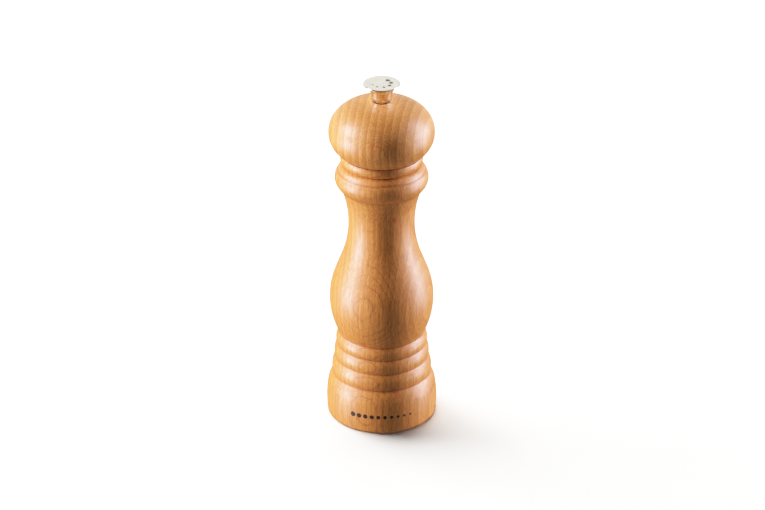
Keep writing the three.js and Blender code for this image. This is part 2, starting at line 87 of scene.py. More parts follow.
# Ends of the turned cuts up the body: radius, height, and how far the arc up to it bulges outwards.
FOOT = (31.65, 18.0, 0.5)
LOW_BEAD = (27.1, 36.2, 1.2)
MIDDLE_BEAD = (26.0, 44.8, 1.07)
HIGH_BEAD = (24.8, 52.6, 1.2)
BULB = (27.15, 91.3, 4.12)
COLLAR = (25.5, 156.4, 2.45)
COLLAR_CREASE = (25.1, 156.7)
SMALL_BEAD = (21.4, 160.1, 0.8)
TOP_BEAD = (23.1, SEAM, 1.4)
# Ends of the cuts that carry on smoothly from the one below.
SHOULDER = (28.5, 26.0)
BULB_TOP = (23.6, 100.4)
NECK_TOP = (23.2, 144.9)

HEAD_RADIUS = 30.4
HEAD_WIDEST = 179.9
HEAD_ABOVE = (19.9, 2.13)  # reach and power of the superellipse above the widest level
HEAD_BELOW = (19.3, 2.14)
SEAT_RADIUS = 5.4
SEAT = 198.9

SCREW_PITCH = 0.8
SHOULDER_OF_SHAFT = 189.5

# ---------------------------------------------------------------- outlines


class Outline:
    """Points in the plane of radius and height, in millimetres, to be revolved."""

    def __init__(self, radius, height):
        self.points = [(radius, height)]
        self.heading = 0.0

    def to(self, radius, height):
        """A straight line to a point."""
        last = self.points[-1]
        self.heading = math.atan2(radius - last[0], height - last[1])
        self.points.append((radius, height))
        return self

    def through(self, points):
        """Straight lines from point to point."""
        for point in points:
            self.to(*point)
        return self

    def arc(self, radius, height, bulge, steps=24):
        """A circular arc whose middle stands out from its chord by bulge."""
        start = Vector(self.points[-1])
        chord = Vector((radius, height)) - start
        length = chord.length
        half = 2 * math.atan(2 * bulge / length)
        along = chord / length
        outwards = Vector((along.y, -along.x))
        curve_radius = length / 2 / math.sin(half)
        for step in range(1, steps + 1):
            angle = half * (2 * step / steps - 1)
            forward = length / 2 + curve_radius * math.sin(angle)
            aside = curve_radius * (math.cos(angle) - math.cos(half))
            point = start + along * forward + outwards * aside
            self.points.append((point.x, point.y))
        self.heading = math.atan2(chord.x, chord.y) - half
        return self

    def smooth_arc(self, radius, height, steps=24):
        """The arc that leaves in the present direction and ends at a point."""
        last = self.points[-1]
        across, up = radius - last[0], height - last[1]
        half = self.heading - math.atan2(across, up)
        return self.arc(radius, height, math.hypot(across, up) / 2 * math.tan(half / 2), steps)


def eased(points, radius, closed):
    """The outline with each sharp corner rounded off, as a cutter or sandpaper leaves it."""
    gentlest = math.radians(14)  # a smaller turn belongs to a curve, and stays
    steps = 4
    count = len(points)
    out = []
    for i, here in enumerate(points):
        if not closed and i in (0, count - 1):
            out.append(here)
            continue
        before, after = Vector(points[i - 1]), Vector(points[(i + 1) % count])
        corner = Vector(here)
        back, on = before - corner, after - corner
        turn = math.pi - back.angle(on, 0.0)
        if turn < gentlest or here[0] == 0:
            out.append(here)
            continue
        reach = min(radius, back.length * 0.45, on.length * 0.45)
        first, last = corner + back.normalized() * reach, corner + on.normalized() * reach
        for step in range(steps + 1):
            t = step / steps
            point = first * (1 - t) ** 2 + corner * 2 * t * (1 - t) + last * t**2
            out.append((point.x, point.y))
    return out


# ---------------------------------------------------------------- meshes


def piece(name, vertices, faces, materials, smooth_below=40.0):
    """A mesh object from vertices in millimetres, smooth except across edges sharper than an angle."""
    mesh = bpy.data.meshes.new(name)
    mesh.from_pydata([tuple(c * MM for c in v) for v in vertices], [], faces)
    mesh.validate()
    mesh.shade_smooth()
    mesh.set_sharp_from_angle(angle=math.radians(smooth_below))
    for material in materials:
        mesh.materials.append(material)
    made = bpy.data.objects.new(name, mesh)
    bpy.context.scene.collection.objects.link(made)
    return made


def lathe(name, points, materials, segments=160, ease=0.25):
    """An outline revolved about the mill's axis. It ends on the axis twice, or closes on itself."""
    closed = not (points[0][0] == 0 and points[-1][0] == 0)
    profile = eased(points, ease, closed)
    vertices, rows = [], []
    for radius, height in profile:
        if radius < 1e-6:
            rows.append([len(vertices)] * segments)
            vertices.append((0, 0, height))
            continue
        rows.append([len(vertices) + i for i in range(segments)])
        for i in range(segments):
            angle = 2 * math.pi * i / segments
            vertices.append((radius * math.cos(angle), radius * math.sin(angle), height))
    faces = []
    pairs = list(zip(rows, rows[1:] + rows[:1])) if closed else list(zip(rows, rows[1:]))
    for low, high in pairs:
        for i in range(segments):
            j = (i + 1) % segments
            face = tuple(dict.fromkeys((low[i], low[j], high[j], high[i])))
            if len(face) > 2:
                faces.append(face)
    return piece(name, vertices, faces, materials)


def tube(name, rings, materials, loop=False, smooth_below=40.0):
    """A skin over rings of the same number of points, capped at both ends or joined into a loop."""
    count = len(rings[0])
    vertices = [point for ring in rings for point in ring]
    faces = []
    spans = len(rings) if loop else len(rings) - 1
    for level in range(spans):
        low, high = level * count, (level + 1) % len(rings) * count
        for i in range(count):
            j = (i + 1) % count
            faces.append((low + i, low + j, high + j, high + i))
    if not loop:
        faces.append(tuple(reversed(range(count))))
        faces.append(tuple(range((len(rings) - 1) * count, len(rings) * count)))
    return piece(name, vertices, faces, materials, smooth_below)


def join(name, objects):
    """Several objects as one."""
    with bpy.context.temp_override(active_object=objects[0], selected_editable_objects=objects):
        bpy.ops.object.join()
    objects[0].name = name
    return objects[0]


def stand_for(made, body, node):
    """A finished piece rides on a body and replaces a CAD node, which is hidden."""
    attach(made, body)
    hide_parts(node)
    return made


# ---------------------------------------------------------------- material building


class Nodes:
    """A short way to write a material's nodes."""

    def __init__(self, name):
        self.material = bpy.data.materials.new(name)
        self.material.use_nodes = True
        self.tree = self.material.node_tree
        self.shader = self.tree.nodes["Principled BSDF"]
        self.place = self.new("ShaderNodeTexCoord").outputs["Object"]

    def new(self, kind, **settings):
        """A node with its settings."""
        node = self.tree.nodes.new(kind)
        for key, value in settings.items():
            setattr(node, key, value)
        return node

    def feed(self, socket, value):
        """Links a socket to a node's output, or sets it to a number, vector or colour."""
        if isinstance(value, bpy.types.NodeSocket):
            self.tree.links.new(value, socket)
        elif socket.type == "RGBA" and len(value) == 3:
            socket.default_value = (*value, 1)
        else:
            socket.default_value = value

    def maths(self, operation, *values, clamp=False):
        """The result of a Math node."""
        node = self.new("ShaderNodeMath", operation=operation, use_clamp=clamp)
        for socket, value in zip(node.inputs, values):
            self.feed(socket, value)
        return node.outputs[0]

    def vector(self, operation, *values):
        """The result of a Vector Math node."""
        node = self.new("ShaderNodeVectorMath", operation=operation)
        for socket, value in zip(node.inputs, values):
            self.feed(socket, value)
        return node.outputs["Value" if operation == "LENGTH" else "Vector"]

    def stretched(self, per_mm, source=None):
        """Object coordinates times so many texture units for each millimetre along x, y and z."""
        scale = tuple(unit / MM for unit in per_mm)
        return self.vector("MULTIPLY", source or self.place, scale)

    def noise(self, per_mm, detail=2.0, roughness=0.5, distortion=0.0, source=None):
        """Noise with so many waves for each millimetre along x, y and z."""
        node = self.new("ShaderNodeTexNoise")
        self.feed(node.inputs["Vector"], self.stretched(per_mm, source))
        node.inputs["Scale"].default_value = 1.0
        node.inputs["Detail"].default_value = detail
        node.inputs["Roughness"].default_value = roughness
        node.inputs["Distortion"].default_value = distortion
        return node.outputs[0]

    def ramp(self, value, *stops, interpolation="EASE"):
        """A value turned into greys or colours, given as pairs of position and colour."""
        node = self.new("ShaderNodeValToRGB")
        band = node.color_ramp
        band.interpolation = interpolation
        while len(band.elements) < len(stops):
            band.elements.new(0.5)
        for element, (position, colour) in zip(band.elements, stops):
            element.position = position
            grey = isinstance(colour, (int, float))
            element.color = (colour, colour, colour, 1) if grey else (*colour, 1)
        self.feed(node.inputs["Fac"], value)
        return node.outputs["Color"]

    def mix(self, amount, first, second):
        """The first colour with an amount of the second over it."""
        node = self.new("ShaderNodeMix", data_type="RGBA")
        colours = [socket for socket in node.inputs if socket.type == "RGBA"]
        self.feed(node.inputs["Factor"], amount)
        self.feed(colours[0], first)
        self.feed(colours[1], second)
        return next(socket for socket in node.outputs if socket.type == "RGBA")

    def bump(self, height, distance_mm, strength=1.0, under=None):
        """The normals of a surface that rises with height, laid over the normals under it."""
        node = self.new("ShaderNodeBump")
        node.inputs["Strength"].default_value = strength
        node.inputs["Distance"].default_value = distance_mm * MM
        self.feed(node.inputs["Height"], height)
        if under:
            self.feed(node.inputs["Normal"], under)
        return node.outputs["Normal"]

    def finish(self, **sockets):
        """Feeds the shader's sockets, which have an underscore here where their name has a space."""
        for name, value in sockets.items():
            self.feed(self.shader.inputs[name.replace("_", " ")], value)
        return self.material


def rgb(red, green, blue):
    """A colour as shaders take it, from 0 to 255 as a screen shows it."""
    shares = [c / 255 for c in (red, green, blue)]
    return tuple(((c + 0.055) / 1.055) ** 2.4 if c > 0.04045 else c / 12.92 for c in shares)


# ---------------------------------------------------------------- wood

DARK_BEECH = rgb(182, 112, 40)
BEECH = rgb(193, 123, 49)
LIGHT_BEECH = rgb(205, 136, 61)
LIGHT_STRIPE = rgb(222, 164, 86)
DARK_STRIPE = rgb(150, 86, 24)
LATE_WOOD = rgb(114, 56, 14)
FIBRE_STREAK = rgb(150, 80, 28)
PORE = rgb(88, 42, 14)
RED_FLECK = rgb(172, 72, 26)
# Painted shade: the colour the wood is darkened towards at each turned crease, and how far either side
# that darkening reaches.
CREASE_SHADE = rgb(150, 76, 14)
CREASE_SHADE_REACH = 0.8  # millimetres either side of a crease


def wood(name, ring_facing, ring_tilt, ring_mm, ring_show, stripe_mm, stripe_show, shaded_creases, seed):
    """Lacquered beech as one solid block, with its fibres along z.

    Growth rings are flat sheets, ring_mm apart, that face an azimuth (0 in front, 90 to the right), so
    that turning them leaves closed loops there. Broad stripes stand across them, stripe_mm apart.
    Painted shade darkens a narrow band round each crease; the crease heights are given in millimetres.
    """
    n = Nodes(name)
    place = n.vector("ADD", n.place, tuple(c * MM for c in seed))
    split = n.new("ShaderNodeSeparateXYZ")
    n.feed(split.inputs[0], n.stretched((1, 1, 1)))
    x, y, z = split.outputs

    def wander(per_mm, reach_mm):
        """A slow drift of up to half of reach_mm either way."""
        centred = n.maths("SUBTRACT", n.noise(per_mm, 2.0, source=place), 0.5)
        return n.maths("MULTIPLY", centred, reach_mm)

    def along(azimuth):
        """Millimetres from the axis towards an azimuth."""
        a = math.radians(azimuth)
        return n.maths("MULTIPLY_ADD", x, math.sin(a), n.maths("MULTIPLY", y, -math.cos(a)))

    def share(amount, part):
        """Part of an amount."""
        return n.maths("MULTIPLY", amount, part)

    ripple = wander((0.25, 0.25, 0.06), 0.8)
    outwards, aside = along(ring_facing), along(ring_facing + 90)
    drift = wander((0.03, 0.03, 0.02), 4.0)
    sheet = n.maths("ADD", n.maths("MULTIPLY_ADD", z, ring_tilt, outwards), drift)
    ring = n.maths("FRACT", n.maths("DIVIDE", n.maths("ADD", sheet, ripple), ring_mm))
    thin_line = n.ramp(ring, (0.0, 0.0), (0.76, 0.0), (0.92, 1.0), (1.0, 0.0), interpolation="LINEAR")
    patches = n.ramp(n.noise((0.06, 0.06, 0.06), 2.0, source=place), (0.38, 0.25), (0.6, 1.0))
    late_wood = share(thin_line, patches)
    across = n.maths("ADD", n.maths("ADD", aside, wander((0.02, 0.02, 0.004), 5.0)), ripple)
    band = n.maths("FRACT", n.maths("DIVIDE", across, stripe_mm))
    stripe = n.ramp(
        band, (0.0, 0.0), (0.06, 1.0), (0.5, 0.6), (0.9, 0.35), (1.0, 0.0), interpolation="LINEAR"
    )

    fibres = n.noise((1.5, 1.5, 0.012), 2.0, 0.5, source=place)
    coarse = n.noise((0.45, 0.45, 0.008), 2.0, 0.5, source=place)
    clouds = n.noise((0.05, 0.05, 0.03), 2.0, source=place)
    pores = n.noise((2.3, 2.3, 0.24), 1.0, 0.4, source=place)
    pore = n.ramp(pores, (0.0, 1.0), (0.3, 1.0), (0.36, 0.0), interpolation="LINEAR")
    flecks = n.noise((0.22, 0.22, 0.16), 1.0, 0.3, source=place)
    fleck = n.ramp(flecks, (0.7, 0.0), (0.78, 1.0), interpolation="LINEAR")

    base = n.ramp(
        n.maths("ADD", share(coarse, 0.6), share(clouds, 0.4)),
        (0.3, DARK_BEECH),
        (0.5, BEECH),
        (0.7, LIGHT_BEECH),
    )
    light_stripe = n.mix(share(stripe, stripe_show), base, LIGHT_STRIPE)
    dark_stripe = share(n.maths("SUBTRACT", 1.0, stripe), stripe_show * 0.5)
    striped = n.mix(dark_stripe, light_stripe, DARK_STRIPE)
    ringed = n.mix(share(late_wood, ring_show), striped, LATE_WOOD)
    streaked = n.mix(n.ramp(fibres, (0.4, 0.36), (0.58, 0.0)), ringed, FIBRE_STREAK)
    pored = n.mix(share(pore, 0.5), streaked, PORE)
    colour = n.mix(share(fleck, 0.5), pored, RED_FLECK)
    # Painted shade: the wood turns darker near each crease height, as if the hollow lay in shade.
    for height in shaded_creases:
        away = n.maths("DIVIDE", n.maths("ABSOLUTE", n.maths("SUBTRACT", z, height)), CREASE_SHADE_REACH)
        near = n.maths("SUBTRACT", 1.0, away, clamp=True)
        colour = n.mix(share(near, 0.6), colour, CREASE_SHADE)

    relief = n.maths("SUBTRACT", share(fibres, 0.5), pore)
    turning = n.noise((0.02, 0.02, 1.6), 2.0, source=place)
    normal = n.bump(relief, 0.02, 0.5, under=n.bump(turning, 0.012, 0.5))
    return n.finish(
        Base_Color=colour,
        Roughness=n.ramp(fibres, (0.3, 0.54), (0.7, 0.46)),
        Normal=normal,
        IOR=1.48,
        Coat_Weight=0.28,
        Coat_Roughness=0.36,
    )


def burnt_wood():
    """Wood charred by a branding iron: brown-black, dull, with the grain still showing."""
    n = Nodes("burnt_wood")
    grain = n.noise((2.4, 2.4, 0.1), 4.0, 0.6)
    colour = n.ramp(grain, (0.3, rgb(30, 14, 7)), (0.7, rgb(58, 30, 14)))
    return n.finish(
        Base_Color=colour,
        Roughness=n.ramp(grain, (0.3, 0.75), (0.7, 0.55)),
        Normal=n.bump(grain, 0.05),
    )


# ---------------------------------------------------------------- other materials


def metal(name, tint, roughness, grain_mm, grain_depth, wear=0.06):
    """Bare metal with a fine grain, and a roughness that wanders a little.

    grain_mm is the size of the grain along x, y and z, and grain_depth is how deep it is.
    """
    n = Nodes(name)
    lines = n.noise(tuple(1 / g for g in grain_mm), 3.0, 0.6)
    smears = n.noise((0.12, 0.12, 0.12), 3.0)
    mixed = n.maths("ADD", n.maths("MULTIPLY", lines, 0.5), n.maths("MULTIPLY", smears, 0.5))
    dark = tuple(c * 0.9 for c in tint)
    return n.finish(
        Base_Color=n.ramp(mixed, (0.3, dark), (0.6, tint)),
        Metallic=1.0,
        Roughness=n.ramp(mixed, (0.3, roughness + wear), (0.7, max(roughness - wear, 0.02))),
        Normal=n.bump(lines, grain_depth, 0.4),
    )


def satin_top():
    """The knob's ground top: fine lines round its centre."""
    n = Nodes("knob_satin")
    flat = n.vector("MULTIPLY", n.stretched((1, 1, 1)), (1, 1, 0))
    around = n.vector("LENGTH", flat)
    lines = n.new("ShaderNodeTexNoise", noise_dimensions="1D")
    n.feed(lines.inputs["W"], around)
    lines.inputs["Scale"].default_value = 14.0
    lines.inputs["Detail"].default_value = 4.0
    smears = n.noise((0.2, 0.2, 0.2), 3.0)
    return n.finish(
        Base_Color=n.ramp(smears, (0.3, rgb(229, 224, 208)), (0.7, rgb(237, 232, 217))),
        Metallic=1.0,
        Roughness=n.ramp(lines.outputs[0], (0.3, 0.36), (0.7, 0.27)),
        Normal=n.bump(lines.outputs[0], 0.006, 0.4),
    )


def moulded(name, tint, roughness):
    """Moulded nylon: fine spark-eroded grain and faint flow marks."""
    n = Nodes(name)
    grain = n.noise((6, 6, 6), 2.0)
    flow = n.noise((0.15, 0.15, 0.3), 3.0, distortion=0.6)
    light = tuple(min(c * 1.15 + 0.004, 1.0) for c in tint)
    return n.finish(
        Base_Color=n.ramp(flow, (0.3, tint), (0.7, light)),
        Roughness=n.ramp(grain, (0.3, roughness + 0.07), (0.7, roughness - 0.07)),
        Normal=n.bump(grain, 0.02, 0.5),
        IOR=1.52,
    )


def fired_ceramic():
    """Unglazed technical ceramic: off-white, with a fine grain and the odd pale grey speck."""
    n = Nodes("fired_ceramic")
    grain = n.noise((4, 4, 4), 3.0)
    specks = n.noise((1.5, 1.5, 1.5), 2.0)
    speck = n.ramp(specks, (0.66, 0.0), (0.7, 1.0), interpolation="LINEAR")
    pale = n.ramp(grain, (0.3, rgb(232, 228, 216)), (0.7, rgb(242, 239, 230)))
    return n.finish(
        Base_Color=n.mix(n.maths("MULTIPLY", speck, 0.4), pale, rgb(190, 184, 170)),
        Roughness=n.ramp(grain, (0.3, 0.62), (0.7, 0.5)),
        Normal=n.bump(grain, 0.03, 0.5),
    )


# Heights of the crease lines that get painted shade.
SHADED_CREASES = [cut[1] for cut in (SHOULDER, LOW_BEAD, MIDDLE_BEAD, HIGH_BEAD, NECK_TOP, COLLAR_CREASE)]
BEECH_BODY = wood(
    "beech_body",
    ring_facing=-20,
    ring_tilt=0.12,
    ring_mm=1.5,
    ring_show=0.5,
    stripe_mm=3.2,
    stripe_show=0.36,
    shaded_creases=SHADED_CREASES,
    seed=(13, 7, 30),
)
BEECH_HEAD = wood(
    "beech_head",
    ring_facing=-10,
    ring_tilt=0.0,
    ring_mm=0.8,
    ring_show=0.5,
    stripe_mm=4.5,
    stripe_show=0.66,
    shaded_creases=[],
    seed=(71, 42, 11),
)
BURNT = burnt_wood()
KNOB_POLISH = metal("knob_polish", rgb(228, 224, 214), 0.08, (4, 4, 0.3), 0.002, 0.03)
KNOB_SATIN = satin_top()
# Darker, rougher steel for the dimples; its darkness is painted shade in the hollows.
KNOB_DIMPLE_SHADE = metal("knob_dimple_shade", rgb(112, 106, 98), 0.4, (0.5, 0.5, 0.5), 0.004)
SCREW_STEEL = metal("screw_steel", rgb(198, 200, 204), 0.28, (0.6, 0.6, 0.6), 0.01)
SPRING_STEEL = metal("spring_steel", rgb(186, 188, 192), 0.25, (0.5, 0.5, 0.5), 0.006)
ALUMINIUM = metal("drawn_aluminium", rgb(208, 210, 213), 0.3, (0.25, 0.25, 9), 0.01)
CERAMIC = fired_ceramic()
BLACK_NYLON = moulded("black_nylon", rgb(38, 38, 41), 0.5)
WHITE_NYLON = moulded("white_nylon", rgb(226, 222, 210), 0.48)

# ---------------------------------------------------------------- wooden shells


def body_outside():
    """The body's outside, from the chamfer under the foot up to the seam."""
    return (
        Outline(BASE_RADIUS - 1.0, 0.0)
        .to(BASE_RADIUS, 0.9)
        .arc(*FOOT)
        .smooth_arc(*SHOULDER)
        .arc(*LOW_BEAD)
        .arc(*MIDDLE_BEAD)
        .arc(*HIGH_BEAD)
        .arc(*BULB, steps=48)
        .smooth_arc(*BULB_TOP)
        .smooth_arc(*NECK_TOP, steps=40)
        .arc(*COLLAR)
        .to(*COLLAR_CREASE)
        .arc(*SMALL_BEAD, steps=12)
        .arc(*TOP_BEAD, steps=12)
    )


def turned_body():
    """The body, bored for the chamber, with a socket for the head and a recess for the housing."""
    barrel = SPIDER_RADIUS + 0.3
    recess = FLANGE_RADIUS + 0.3
    outline = body_outside()
    outline.through(
        [
            (SOCKET_RADIUS, SEAM),
            (SOCKET_RADIUS, SOCKET_FLOOR),
            (CHAMBER_RADIUS, SOCKET_FLOOR),
            (CHAMBER_RADIUS, SPIDER_TOP + 0.3),
            (barrel, SPIDER_TOP + 0.3),
            (barrel, FLANGE_TOP + 0.2),
            (recess, FLANGE_TOP + 0.2),
            (recess, 0.0),
        ]
    )
    made = lathe("lathed_body", outline.points, [BEECH_BODY], segments=192)
    return stand_for(made, "mill_body", "turned_body")


def superellipse(height, reach, power):
    """The head's radius at a height."""
    return HEAD_RADIUS * (1 - (abs(height - HEAD_WIDEST) / reach) ** power) ** (1 / power)


def turned_head():
    """The head, with its tenon below, a seat for the knob and a bore for the shaft."""
    tenon = 14.9
    tenon_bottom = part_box("turned_head")[0].z / MM
    chamfer = 0.8
    plate_recess = 11.9
    plate_depth = 1.9
    bore = 4.3
    bore_top = 191.5
    thread_hole = 2.8
    washer_pocket = 4.6
    pocket_floor = SEAT - 0.6
    below_steps, above_steps = 30, 48
    outline = Outline(tenon, HEAD_BOTTOM).to(superellipse(HEAD_BOTTOM, *HEAD_BELOW), HEAD_BOTTOM)
    for step in range(1, below_steps + 1):
        quarter = step / below_steps * math.pi / 2
        height = HEAD_BOTTOM + (HEAD_WIDEST - HEAD_BOTTOM) * math.sin(quarter)
        outline.to(superellipse(height, *HEAD_BELOW), height)
    crown_angle = math.acos(SEAT_RADIUS / HEAD_RADIUS)
    for step in range(1, above_steps + 1):
        height = HEAD_WIDEST + HEAD_ABOVE[0] * math.sin(step / above_steps * crown_angle)
        outline.to(superellipse(height, *HEAD_ABOVE), height)
    outline.through(
        [
            (washer_pocket + 0.4, SEAT),
            (washer_pocket, SEAT),
            (washer_pocket, pocket_floor),
            (thread_hole, pocket_floor),
            (thread_hole, bore_top),
            (bore, bore_top),
            (bore, tenon_bottom + plate_depth),
            (plate_recess, tenon_bottom + plate_depth),
            (plate_recess, tenon_bottom),
            (tenon - chamfer, tenon_bottom),
            (tenon, tenon_bottom + chamfer),
        ]
    )
    made = lathe("lathed_head", outline.points, [BEECH_HEAD], segments=192, ease=0.2)
    return stand_for(made, "head", "turned_head")


def radius_at(points, height):
    """The outline's radius at a height, on its way up the outside."""
    for (r0, z0), (r1, z1) in zip(points, points[1:]):
        if z0 <= height <= z1 and z1 > z0:
            return r0 + (r1 - r0) * (height - z0) / (z1 - z0)
    return points[-1][0]


def burnt_dots():
    """A row of burnt dots on the front of the foot, from coarse to fine, in place of any lettering."""
    outside = body_outside().points
    count = 10
    centre_height = 10.8
    pitch = 3.9
    coarsest, finest = 1.7, 0.75
    proud = 0.02  # how far a dot stands out from the wood; its rim dips as far below
    rings, spokes = 6, 28
    vertices, faces = [], []
    for i in range(count):
        dot_radius = coarsest + (finest - coarsest) * i / (count - 1)
        along = (i - (count - 1) / 2) * pitch
        start = len(vertices)
        for ring in range(rings + 1):
            reach = dot_radius * ring / rings
            for spoke in range(spokes if ring else 1):
                turn = 2 * math.pi * spoke / spokes
                across, up = reach * math.cos(turn), reach * math.sin(turn)
                height = centre_height + up
                surface = radius_at(outside, height)
                angle = (along + across) / surface - math.pi / 2
                level = surface + (proud if ring < rings else -proud)
                vertices.append((level * math.cos(angle), level * math.sin(angle), height))
        for spoke in range(spokes):
            on = (spoke + 1) % spokes
            faces.append((start, start + 1 + spoke, start + 1 + on))
            for ring in range(rings - 1):
                low, high = start + 1 + ring * spokes, start + 1 + (ring + 1) * spokes
                faces.append((low + spoke, high + spoke, high + on, low + on))
    made = piece("burnt_dots", vertices, faces, [BURNT])
    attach(made, "mill_body")
    return made


# ---------------------------------------------------------------- knob


def knob():
    """The flared knob: a polished shell with a bore and a groove, closed by a satin top."""
    rim = 10.5
    top_level = KNOB_TOP - 0.02
    top_radius = rim - 0.55
    bore = 2.75
    groove = 3.8
    groove_low, groove_high = 200.2, 202.3
    foot = 4.75
    flare_start = (6.4, 204.6)
    outline = Outline(foot - 0.4, KNOB_BOTTOM).to(foot, KNOB_BOTTOM + 0.4).to(*flare_start)
    outline.smooth_arc(rim - 0.2, KNOB_TOP - 0.7, steps=28)
    outline.through(
        [
            (rim, KNOB_TOP - 0.5),
            (rim, KNOB_TOP - 0.2),
            (rim - 0.3, top_level),
            (top_radius, top_level),
            (rim - 0.6, KNOB_TOP - 0.4),
            (bore, KNOB_TOP - 1.9),
            (bore, groove_high),
            (groove, groove_high),
            (groove, groove_low),
            (bore, groove_low),
            (bore, KNOB_BOTTOM),
        ]
    )
    shell = lathe("knob_shell", outline.points, [KNOB_POLISH], segments=128, ease=0.12)
    top = knob_top(top_radius, top_level)
    made = join("flared_knob", [shell, top])
    return stand_for(made, "knob", "adjusting_knob")


def knob_top(radius, level):
    """A disc with a short arc of dimples, which are round hollows, from fine to coarse."""
    arc_radius = 5.4
    first_angle, step_angle = -160, 42
    depth_share = 0.35
    dimples = []
    for i in range(6):
        angle = math.radians(first_angle + step_angle * i)
        size = 0.7 + 0.17 * i
        dimples.append((arc_radius * math.cos(angle), arc_radius * math.sin(angle), size))
    rings, spokes = 72, 144
    vertices, faces, sunk = [(0, 0, level)], [], [0.0]
    for ring in range(1, rings + 1):
        reach = radius * ring / rings
        for spoke in range(spokes):
            angle = 2 * math.pi * spoke / spokes
            x, y = reach * math.cos(angle), reach * math.sin(angle)
            sink = 0.0
            for dimple_x, dimple_y, size in dimples:
                near = math.hypot(x - dimple_x, y - dimple_y) / size
                if near < 1:
                    sink = max(sink, depth_share * size * math.sqrt(1 - near**2))
            vertices.append((x, y, level - sink))
            sunk.append(sink)
    for spoke in range(spokes):
        on = (spoke + 1) % spokes
        faces.append((0, 1 + spoke, 1 + on))
        for ring in range(rings - 1):
            low, high = 1 + ring * spokes, 1 + (ring + 1) * spokes
            faces.append((low + spoke, high + spoke, high + on, low + on))
    made = piece("knob_top", vertices, faces, [KNOB_SATIN, KNOB_DIMPLE_SHADE], smooth_below=60)
    for face in made.data.polygons:
        # Painted shade: faces sunk into a dimple take the darker steel.
        face.material_index = int(min(sunk[corner] for corner in face.vertices) > 0)
    return made


# ---------------------------------------------------------------- shaft, spring and burrs


def around(count, radius_of, height, turned=0.0):
    """A ring of points whose radius depends on the angle."""
    ring = []
    for i in range(count):
        angle = 2 * math.pi * i / count
        radius = radius_of(angle)
        ring.append((radius * math.cos(angle + turned), radius * math.sin(angle + turned), height))
    return ring


def square_with_round_corners(angle):
    """The shaft's radius at an angle. Sharp corners would reach 1.414 times the half side."""
    side = SHAFT_HALF / max(abs(math.cos(angle)), abs(math.sin(angle)))
    corner = SHAFT_HALF * 1.36
    return min(side, corner)


def shaft():
    """A drawn square bar whose top end is turned down and threaded."""
    chamfer, chamfer_height = 0.25, 0.3
    levels = [
        (SHAFT_BOTTOM, chamfer),
        (SHAFT_BOTTOM + chamfer_height, 0),
        (SHOULDER_OF_SHAFT - chamfer_height, 0),
        (SHOULDER_OF_SHAFT, chamfer),
    ]
    rings = [
        around(96, lambda a, less=less: square_with_round_corners(a) - less, height)
        for height, less in levels
    ]
    bar = tube("shaft_bar", rings, [ALUMINIUM])
    crest, root = 2.5, 2.05
    run_out = 0.6
    inside_bar = 0.2
    rows_per_turn = 8
    rows = int((SHAFT_TOP - SHOULDER_OF_SHAFT) / SCREW_PITCH * rows_per_turn)
    threaded = []
    for row in range(rows + 1):
        climb = (SHAFT_TOP - SHOULDER_OF_SHAFT + inside_bar) * row / rows
        height = SHOULDER_OF_SHAFT - inside_bar + climb
        fade = min(1.0, (SHAFT_TOP - height) / run_out)

        def ridge(angle, height=height, fade=fade):
            phase = (height / SCREW_PITCH - angle / (2 * math.pi)) % 1
            rise = max(0.0, 1 - abs(2 * phase - 1) * 1.25)
            return root - chamfer * (1 - fade) + (crest - root) * min(rise * 1.15, 1.0) * fade

        threaded.append(around(48, ridge, height))
    thread = tube("shaft_thread", threaded, [ALUMINIUM], smooth_below=75)
    return stand_for(join("drawn_shaft", [bar, thread]), "spindle", "drive_shaft")


def spring():
    """A compression spring with closed, ground ends, stretched between the bush and the burr cone."""
    low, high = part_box("burr_spring")
    bottom, top = low.z / MM, high.z / MM
    wire = 0.5  # the wire's radius
    radius = high.x / MM - wire
    turns, steps, sides = 5.5, 330, 12
    closed_share = 0.16  # of the wire's length, at each end
    closed_rise = 0.05  # of the spring's height, at each end
    rings = []
    for step in range(steps + 1):
        t = step / steps
        angle = 2 * math.pi * turns * t
        if t < closed_share:
            rise = t / closed_share * closed_rise
        elif t > 1 - closed_share:
            rise = 1 - (1 - t) / closed_share * closed_rise
        else:
            open_t = (t - closed_share) / (1 - 2 * closed_share)
            climb = open_t * 0.6 + 0.4 * open_t * open_t * (3 - 2 * open_t)
            rise = closed_rise + (1 - 2 * closed_rise) * climb
        centre = bottom + wire + (top - bottom - 2 * wire) * rise
        ring = []
        for i in range(sides):
            turn = 2 * math.pi * i / sides
            reach = radius + wire * math.cos(turn)
            height = centre + wire * math.sin(turn)
            ring.append((reach * math.cos(angle), reach * math.sin(angle), height))
        rings.append(ring)
    made = tube("coil_spring", rings, [SPRING_STEEL], smooth_below=60)
    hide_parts("burr_spring")
    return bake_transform(made)


def toothed(crests, depth, teeth, twist, samples):
    """Rings of a toothed cone, from the bottom up. crests are pairs of height and radius.

    Each tooth has a gentle flank and a steep one, which does the cutting.
    """
    bottom, top = crests[0][0], crests[-1][0]
    gentle, steep = 0.78, 0.22
    levels = 28
    rings = []
    for level in range(levels + 1):
        height = bottom + (top - bottom) * level / levels
        crest = radius_at([(r, z) for z, r in crests], height)

        def flank(angle, crest=crest):
            phase = angle * teeth / (2 * math.pi) % 1
            return crest - depth * (phase / gentle if phase < gentle else (1 - phase) / steep)

        rings.append(around(teeth * samples, flank, height, twist * (height - bottom) / (top - bottom)))
    return rings


def six_sided(angle):
    """The radius at an angle of the hexagonal hole for the hub."""
    half_across = 4.9
    sixth = math.pi / 3
    return half_across / math.cos((angle + sixth / 2) % sixth - sixth / 2)


